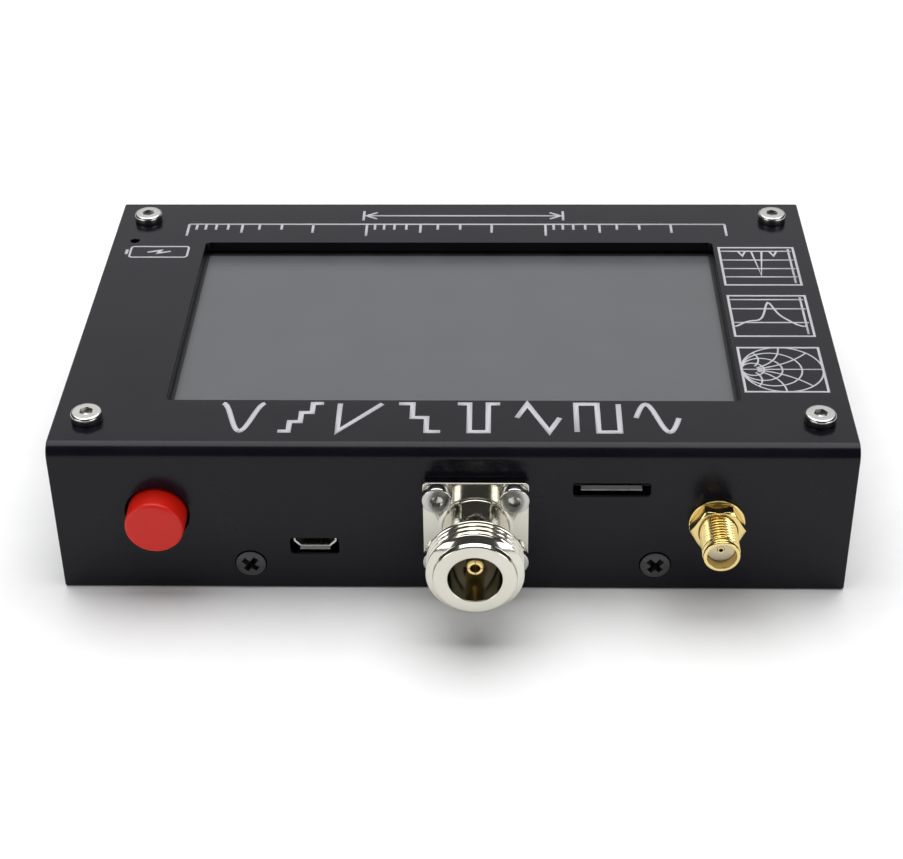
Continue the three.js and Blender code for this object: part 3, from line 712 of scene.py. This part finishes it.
def small_jack_barrel():
    """The threaded tube with its bore, and the tail behind the wall."""
    tail_hole, tail, crest, bore = 1.1 * MM, 1.9 * MM, 3.1 * MM, 2.35 * MM
    back, shoulder, bore_end = -6.45 * MM, -3.95 * MM, -3.4 * MM
    thread_low, thread_high, reach = -3 * MM, 8.3 * MM, 9.4 * MM
    lip = crest - 0.1 * MM
    groove = crest - 0.3 * MM
    depth, pitch = 0.45 * MM, 0.7 * MM
    outside = [(tail_hole, back), (tail, back), (tail, shoulder), (lip, shoulder)]
    ridges = thread(crest, depth, pitch, thread_low, thread_high)
    inside = rounded([
        (groove, 8.45 * MM), (groove, 8.75 * MM), (lip, 8.9 * MM), (lip, reach, 0.2 * MM),
        (bore + 0.1 * MM, reach, 0.1 * MM), (bore, reach - 0.3 * MM), (bore, bore_end),
        (tail_hole, bore_end),
    ], closed=False)
    barrel = revolved(outside + ridges + [tuple(point) for point in inside], joined=True)
    flange = nut(flats=8 * MM, low=shoulder, high=-2.05 * MM, hole=2.9 * MM)
    return together(barrel, flange)


def small_jack_washer():
    hole, radius, low, high = 3.35 * MM, 4.68 * MM, LIFT, 0.6 * MM
    return turned([
        (hole, low), (radius, low, 0.1 * MM), (radius, high, 0.15 * MM), (hole, high),
    ], joined=True)


def small_jack_insulator():
    hole, radius, low, high = 0.66 * MM, 2.3 * MM, -2.9 * MM, 7.5 * MM
    return turned([
        (hole, low), (radius, low), (radius, high, 0.1 * MM), (hole, high, 0.05 * MM),
    ], joined=True)


def small_jack_contact():
    """A rod, and the slit sleeve in front that takes a plug's pin."""
    pin_hole, radius = 0.36 * MM, 0.64 * MM
    tail_end, sleeve_low, mouth = -9.5 * MM, 5 * MM, 7.6 * MM
    rod = turned([(0, tail_end), (radius, tail_end), (radius, sleeve_low), (0, sleeve_low)])
    return together(rod, slit_sleeve(pin_hole, radius, sleeve_low, mouth, slits=2, gap=0.1 * MM))


def add_small_jack():
    place = on_wall("sma_jack_nut")
    hex_nut = nut(flats=8 * MM, low=0.65 * MM, high=2.9 * MM, hole=3.12 * MM)
    add("small_jack_body_turned", moved(small_jack_barrel(), place), "gold", "sma_jack_body")
    add("small_jack_washer_turned", moved(small_jack_washer(), place), "gold", "sma_jack_washer")
    add("small_jack_nut_turned", moved(hex_nut, place), "gold", "sma_jack_nut")
    insulator = moved(small_jack_insulator(), place)
    add("small_jack_insulator_turned", insulator, "white_plastic", "sma_jack_insulator")
    add("small_jack_contact_turned", moved(small_jack_contact(), place), "gold", "sma_jack_contact")


# ---- Ports ------------------------------------------------------------------


def port_outline(width, height, wide_edge, inset=0):
    """A port's shell from its mouth: one edge is wide, and the corners at the other are drawn in.

    The wide edge is at +y if wide_edge is above 0, and otherwise at -y.
    """
    half, rise, drawn_in = width / 2, height / 2, 1.1 * MM
    corners = [
        Vector((-half + drawn_in, -rise)), Vector((half - drawn_in, -rise)), Vector((half, -rise * 0.1)),
        Vector((half, rise)), Vector((-half, rise)), Vector((-half, -rise * 0.1)),
    ]
    radius = 0.5 * MM - inset
    loop = rounded([(*corner, radius) for corner in grown(corners, -inset)])
    return loop if wide_edge > 0 else [Vector((x, -y)) for x, y in reversed(loop)]


def contact_strips(node, count):
    """Gold strips along the lower face of a port's tongue."""
    low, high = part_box(f"{node}_tongue")
    pitch = (high.x - low.x) / count
    half_wide, short_of_ends, sunk, proud, edge = pitch / 4, 0.3 * MM, 0.03 * MM, 0.06 * MM, 0.02 * MM
    strips = []
    for i in range(count):
        middle = low.x + pitch * (i + 0.5)
        strips.append(brick(
            (middle - half_wide, low.y + short_of_ends, low.z - proud),
            (middle + half_wide, high.y - short_of_ends, low.z + sunk), edge))
    return together(*strips)


def add_port(node, width, height, depth, wide_edge):
    """A port behind its hole: a thin bent shell with a back, a moulding, and a tongue's contacts.

    The wide edge of its mouth is up if wide_edge is above 0, and otherwise down.
    """
    low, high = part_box(f"{node}_shell")
    side = math.copysign(1, low.y)
    mouth = (high.y if side > 0 else -low.y) - WALL
    drawn_edge = -side * wide_edge  # a drawing's +y points down on the +Y wall, and up on the other
    skin, back_skin = 0.48 * MM, 0.4 * MM
    outside = port_outline(width, height, drawn_edge)
    inside = port_outline(width, height, drawn_edge, skin)
    shell = plate(outside, [inside], depth, 0.16 * MM)
    back = plate(port_outline(width, height, drawn_edge, skin / 2), [], back_skin, 0.05 * MM)
    filling = port_outline(width, height, drawn_edge, skin + 0.02 * MM)
    moulding = plate(filling, [], depth * 0.35, 0.1 * MM)
    place = on_wall(f"{node}_shell") @ Matrix.Translation((0, 0, mouth - depth))
    on_back = place @ Matrix.Translation((0, 0, back_skin + 0.01 * MM))
    add(f"{node}_bent_shell", moved(together(shell, back), place), "tinned", f"{node}_shell")
    add(f"{node}_moulding", moved(moulding, on_back), "black_plastic")
    add(f"{node}_contacts", contact_strips(node, count=5), "gold")


def sloping_strip(length, depth, place, slope):
    """A thin metal strip along x whose outer edge hangs down, by this many degrees."""
    thickness = 0.12 * MM
    corner = Vector((length, depth, thickness)) / 2
    strip = brick(-corner, corner, 0.04 * MM)
    return moved(strip, Matrix.Translation(place) @ Matrix.Rotation(-math.radians(slope), 4, "X"))


def add_port_lips():
    """The turned-up edge of the memory card socket, and the flared lower lip of the micro-USB shell."""
    card = (CARD_SLOT.x, WALL - 1.3 * MM, CARD_SLOT.y - 0.5 * MM)
    card_strip = sloping_strip(length=10.1 * MM, depth=0.85 * MM, place=card, slope=45)
    add("card_socket_lip", card_strip, "dull_tin")
    low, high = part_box("micro_usb_shell")
    below_mouth = ((low.x + high.x) / 2, high.y + 0.1 * MM, low.z + 0.04 * MM)
    usb_strip = sloping_strip(length=5.1 * MM, depth=0.75 * MM, place=below_mouth, slope=30)
    add("micro_usb_lip", usb_strip, "satin_tin")


def add_ports():
    add_port("micro_usb", width=7.5 * MM, height=2.6 * MM, depth=5.2 * MM, wide_edge=1)
    add_port("mini_usb", width=7.4 * MM, height=3.8 * MM, depth=8.5 * MM, wide_edge=-1)


# ---- Power button and switch ------------------------------------------------


def add_power_button():
    """The red cap, slightly domed, with the socket for its plunger."""
    place = on_wall("power_button_cap")
    radius, proud, behind = 4.95 * MM, 4.2 * MM, 4.5 * MM
    socket, socket_end = 2.04 * MM, 2.25 * MM
    rings = rounded([
        (0, socket_end), (socket, socket_end), (socket, -behind), (radius, -behind, 0.2 * MM),
        (radius, 0), (radius - 0.06 * MM, proud, 0.7 * MM),
        (radius * 0.5, proud + 0.02 * MM), (0, proud + 0.04 * MM),
    ], closed=False, steps=8)
    cap = revolved([tuple(point) for point in rings])
    add("power_button_moulded", moved(cap, place), "red_plastic", "power_button_cap", body="power_button")


def add_switch_spring():
    low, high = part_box("switch_spring")
    centre = (low + high) / 2
    length = high.y - low.y
    wire, coil, turns, steps = 0.2 * MM, 2.45 * MM, 3, 32
    points = []
    for i in range(turns * steps + 1):
        angle = FULL_TURN * i / steps
        along = low.y + wire + (length - 2 * wire) * i / (turns * steps)
        x, z = centre.x + coil * math.cos(angle), centre.z + coil * math.sin(angle)
        points.append(Vector((x, along, z)))
    spring = add("switch_spring_coiled", tube(points, wire), "stainless", "switch_spring", angle=60)
    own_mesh(spring)


# ---- Display ----------------------------------------------------------------


def add_screen_border():
    """The black frame printed on the glass round the lit area."""
    size = GLASS_HIGH - GLASS_LOW
    glass = rectangle(size.x, size.y, 1 * MM, 0, WINDOW_Y)
    lit = rectangle(WINDOW.x - 1.2 * MM, WINDOW.y - 1.6 * MM, 0.3 * MM, 0, WINDOW_Y)
    thickness, edge = 0.06 * MM, 0.01 * MM
    border = plate(glass, [lit], thickness, edge)
    add("screen_border", moved(border, Matrix.Translation((0, 0, GLASS_HIGH.z))), "black_plastic")


# ---- Print on the top plate -------------------------------------------------

AXIS_X, AXIS_Y, GRAPH_END = 0.07, 0.1, 0.98  # in a framed graph that is 1 across and 1 up


class Print:
    """Thin raised lines on the top plate."""

    def __init__(self):
        self.bm = bmesh.new()
        self.strokes = 0

    def line(self, points, width=0.45 * MM, closed=False):
        """One line of ink through points. Lines drawn one after another lie at different heights."""
        points = [Vector(point) for point in points]
        height = TOP + 0.02 * MM + self.strokes % 20 * 0.0005 * MM
        self.strokes += 1
        edges = []
        for i, point in enumerate(points):
            before = points[i - 1] if closed or i else None
            after = points[(i + 1) % len(points)] if closed or i + 1 < len(points) else None
            into = (point - before).normalized() if before else (after - point).normalized()
            out = (after - point).normalized() if after else into
            across = Vector((-into.y - out.y, into.x + out.x)).normalized()
            mitre = across.dot(Vector((-into.y, into.x)))
            reach = width / 2 / max(mitre, 0.4)
            sides = [point + across * reach, point - across * reach]
            edges.append([self.bm.verts.new((*side, height)) for side in sides])
        pairs = list(zip(edges, edges[1:])) + ([(edges[-1], edges[0])] if closed else [])
        for (left, right), (next_left, next_right) in pairs:
            self.bm.faces.new([left, right, next_right, next_left])

    def finish(self, name):
        bmesh.ops.recalc_face_normals(self.bm, faces=self.bm.faces)
        for face in self.bm.faces:
            if face.normal.z < 0:
                face.normal_flip()
        piece = add(name, mesh_from(self.bm), "print_white")
        thick = piece.modifiers.new("thickness", "SOLIDIFY")
        thick.thickness = 0.025 * MM
        thick.offset = -1


def framed(ink, low_x, low_y, size, curves, width):
    """A square frame with lines in it, given as points across and up from 0 to 1."""
    ink.line(rectangle(size, size, 0, low_x + size / 2, low_y + size / 2), closed=True)
    for curve in curves:
        closed = curve[0] == curve[-1]
        points = [(low_x + size * across, low_y + size * up) for across, up in curve]
        ink.line(points[:-1] if closed else points, width, closed)


def smith_point(resistance, reactance):
    """Where an impedance lies on a Smith chart, from 0 to 1 across and up."""
    impedance = complex(resistance, reactance)
    reflection = (impedance - 1) / (impedance + 1)
    return (0.5 + reflection.real / 2, 0.5 + reflection.imag / 2)


def smith_chart():
    """Circles of equal resistance, and arcs of equal reactance that stop short of where they would meet."""
    curves = [[(0, 0.5), (1, 0.5)]]
    steps = 24
    for resistance in (0, 0.35, 1, 2.6):
        turns = [math.pi / 2 * i / steps for i in range(1 - steps, steps)]
        reactances = [(1 + resistance) * math.tan(turn) for turn in turns]
        loop = [smith_point(resistance, reactance) for reactance in reactances] + [(1, 0.5)]
        curves.append(loop + loop[:1])
    resistances = [math.tan(math.pi / 2 * i / 20) for i in range(18)]
    for reactance in (-2.2, -1, -0.45, 0.45, 1, 2.2):
        curves.append([smith_point(resistance, reactance) for resistance in resistances])
    return curves


def graph(grid, curve):
    """Axes, level lines, and a curve over them."""
    lines_start = 0.03
    axes = [[(AXIS_X, 0.04), (AXIS_X, 0.95)], [(lines_start, AXIS_Y), (GRAPH_END, AXIS_Y)]]
    levels = [[(lines_start, level), (GRAPH_END, level)] for level in grid]
    return axes + levels + [curve]


def resonance_curve():
    """A steep notch between two shoulders, with a slow ripple."""
    shoulder, deep, half_wide, middle = 0.74, 0.6, 0.09, 0.5
    steps = 40
    points = []
    for i in range(steps + 1):
        across = AXIS_X + (GRAPH_END - AXIS_X) * i / steps
        notch = deep / (1 + ((across - middle) / half_wide) ** 2)
        ripple = 0.05 * math.sin(across * 14)
        points.append((across, shoulder - notch + ripple))
    return points


def peak_curve():
    """A tall narrow peak with a small one at each side."""
    small, tall = 0.13, 0.66
    points = [(AXIS_X, AXIS_Y)]
    for centre, rise, half in ((0.28, small, 0.05), (0.5, tall, 0.07), (0.7, small, 0.05)):
        points += [(centre - half, AXIS_Y), (centre, AXIS_Y + rise), (centre + half, AXIS_Y)]
    return points + [(GRAPH_END, AXIS_Y)]


def waveforms():
    """Eight test signals, each as lines from 0 to 1 across and up."""
    moments = [i / 24 for i in range(25)]
    sine = [(moment, 0.5 + 0.5 * math.sin(FULL_TURN * moment)) for moment in moments]
    cosine = [(moment, 0.5 - 0.5 * math.cos(FULL_TURN * moment)) for moment in moments]
    square = [(0, 0), (0, 1), (0.5, 1), (0.5, 0), (1, 0), (1, 1)]
    triangle = [(0, 0.5), (0.25, 1), (0.75, 0), (1, 0.5)]
    saw = [(0, 0), (1, 1), (1, 0)]
    stairs = [(0, 0), (0.25, 0), (0.25, 0.33), (0.5, 0.33), (0.5, 0.66), (0.75, 0.66), (0.75, 1), (1, 1)]
    pulse = [(0, 0), (0.28, 0), (0.28, 1), (0.72, 1), (0.72, 0), (1, 0)]
    steps = [(0, 1), (0.33, 1), (0.33, 0.5), (0.67, 0.5), (0.67, 0), (1, 0)]
    return [sine, square, triangle, pulse, steps, saw, stairs, cosine]


def print_waveforms(ink):
    left, right, low, high = -39 * MM, 40 * MM, 29.9 * MM, 38.1 * MM
    pen, margin = 0.9 * MM, 0.14
    signals = waveforms()
    pitch = (right - left) / len(signals)
    width, height = pitch * (1 - 2 * margin), high - low
    for number, signal in enumerate(signals):
        start = left + pitch * (number + margin)
        ink.line([(start + width * across, low + height * up) for across, up in signal], pen)


def print_log_scale(ink):
    """Three decades of a logarithmic scale."""
    left, right, base = -51.5 * MM, 52.6 * MM, -32.9 * MM
    pen, decades = 0.5 * MM, 3
    long_tick, middle_tick, short_tick = 4.6 * MM, 3.4 * MM, 2.2 * MM
    decade = (right - left) / decades
    ink.line([(left, base), (right, base)], pen)
    for number in range(decades):
        for mantissa in range(1, 10):
            x = left + decade * (number + math.log10(mantissa))
            tick = long_tick if mantissa == 1 else middle_tick if mantissa in (2, 5) else short_tick
            ink.line([(x, base), (x, base + tick)], pen)
    ink.line([(right, base), (right, base + long_tick)], pen)


def print_span_arrow(ink):
    """A span between two stops, with an arrowhead at each."""
    left, right, middle = -20.3 * MM, 18.7 * MM, -36.4 * MM
    pen, rise, half_head = 0.5 * MM, 1.9 * MM, 1.3 * MM
    ink.line([(left, middle), (right, middle)], pen)
    for stop, inward in ((left, 1), (right, -1)):
        ink.line([(stop, middle - rise), (stop, middle + rise)], pen)
        wing = stop + inward * 2.6 * MM
        tip = stop + inward * pen
        ink.line([(wing, middle - half_head), (tip, middle), (wing, middle + half_head)], pen)


def print_battery(ink):
    """A battery outline with a spark in it."""
    left, right, low, high = 51.5 * MM, 62.5 * MM, -24 * MM, -19.9 * MM
    centre, middle = (left + right) / 2, (low + high) / 2
    edge = rectangle(right - left, high - low, 0.6 * MM, centre, middle)
    ink.line(edge, 0.4 * MM, closed=True)
    cap, half_cap = right + 0.7 * MM, 0.9 * MM
    ink.line([(cap, middle - half_cap), (cap, middle + half_cap)], 0.6 * MM)
    spark = [(2.2, 0.15), (-0.3, -0.55), (0.2, 0.5), (-2.2, -0.2)]
    ink.line([(centre + x * MM, middle + y * MM) for x, y in spark], 0.5 * MM)


def add_print():
    ink = Print()
    left, size, pen, fine_pen = -63.5 * MM, 14 * MM, 0.4 * MM, 0.3 * MM
    framed(ink, left, -23.7 * MM, size, graph((0.34, 0.57, 0.79), peak_curve()), pen)
    framed(ink, left, -5.8 * MM, size, graph((0.33, 0.67), resonance_curve()), pen)
    framed(ink, left, 12 * MM, size, smith_chart(), fine_pen)
    print_waveforms(ink)
    print_log_scale(ink)
    print_span_arrow(ink)
    print_battery(ink)
    ink.finish("top_plate_print")


# ---- Pieces kept from the frame ---------------------------------------------


def finish_frame_pieces():
    """Gives every CAD piece the finish of its slot, and softens its edges."""
    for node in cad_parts.values():
        slot = node.data.materials[0].name
        node.data.materials.clear()
        node.data.materials.append(FINISH[slot])
        bevel = node.modifiers.new("rounded_edges", "BEVEL")
        bevel.width = 0.12 * MM
        bevel.segments = 2
        bevel.limit_method = "ANGLE"
        bevel.angle_limit = math.radians(40)
        bevel.harden_normals = True


# ---- Stage ------------------------------------------------------------------


def add_floor():
    """A pale square floor, 2 m from its middle to each side."""
    bm = bmesh.new()
    bmesh.ops.create_grid(bm, x_segments=8, y_segments=8, size=2)
    floor = bpy.data.objects.new("floor", mesh_from(bm))
    floor.data.materials.append(FINISH["floor"])
    floor.location.z = -0.1 * MM
    bpy.context.scene.collection.objects.link(floor)


def add_light(name, place, aim, size, power):
    light = bpy.data.lights.new(name, "AREA")
    light.shape = "RECTANGLE"
    light.size, light.size_y = size
    light.energy = power
    lamp = bpy.data.objects.new(name, light)
    lamp.location = place
    lamp.rotation_euler = (Vector(aim) - Vector(place)).to_track_quat("-Z", "Y").to_euler()
    bpy.context.scene.collection.objects.link(lamp)


def add_studio():
    """Panels overhead, behind and low at both sides, in a dim room that looks pale to the camera."""
    world = bpy.data.worlds.new("studio")
    world.use_nodes = True
    tree = world.node_tree
    dim = tree.nodes["Background"]
    dim.inputs["Color"].default_value = (0.95, 0.97, 1, 1)
    dim.inputs["Strength"].default_value = 0.06
    pale = tree.nodes.new("ShaderNodeBackground")
    pale.inputs["Color"].default_value = (0.95, 0.95, 0.95, 1)
    seen = tree.nodes.new("ShaderNodeLightPath")
    either = tree.nodes.new("ShaderNodeMixShader")
    tree.links.new(seen.outputs["Is Camera Ray"], either.inputs["Fac"])
    tree.links.new(dim.outputs["Background"], either.inputs[1])
    tree.links.new(pale.outputs["Background"], either.inputs[2])
    tree.links.new(either.outputs["Shader"], tree.nodes["World Output"].inputs["Surface"])
    bpy.context.scene.world = world
    part = (0, 0, 0)
    add_light("overhead_panel", place=(0, -0.8, 3), aim=(0, -0.5, 0), size=(4.2, 2.9), power=150)
    add_light("back_panel", place=(0, -3.6, 2.55), aim=part, size=(6, 2.7), power=48)
    for side, name in ((-1, "left"), (1, "right")):
        add_light(f"{name}_low_panel", place=(side * 3.2, 2.7, 0.9), aim=part, size=(3, 1.05), power=36)


def add_camera():
    """Stands in front of the connector wall, a little above it, as the photo was taken."""
    pitch, yaw, roll = math.radians(34.56), math.radians(1.58), math.radians(0.74)
    lens = bpy.data.cameras.new("camera")
    lens.lens = 77.1
    lens.sensor_width = 36
    lens.clip_start = 0.01
    camera = bpy.data.objects.new("camera", lens)
    facing = Matrix.Rotation(math.pi + yaw, 4, "Z") @ Matrix.Rotation(math.pi / 2 - pitch, 4, "X")
    place = Matrix.Translation((-7.2 * MM, 299.7 * MM, 209.7 * MM))
    camera.matrix_world = place @ facing @ Matrix.Rotation(-roll, 4, "Z")
    bpy.context.scene.collection.objects.link(camera)
    bpy.context.scene.camera = camera


add_cover()
add_tray()
add_screws()
add_antenna_jack()
for number in FOUR:
    add_antenna_jack_screw(number)
add_small_jack()
add_ports()
add_port_lips()
add_power_button()
add_switch_spring()
add_screen_border()
add_print()
finish_frame_pieces()
add_floor()
add_studio()
add_camera()
bpy.context.scene.view_settings.view_transform = "Standard"
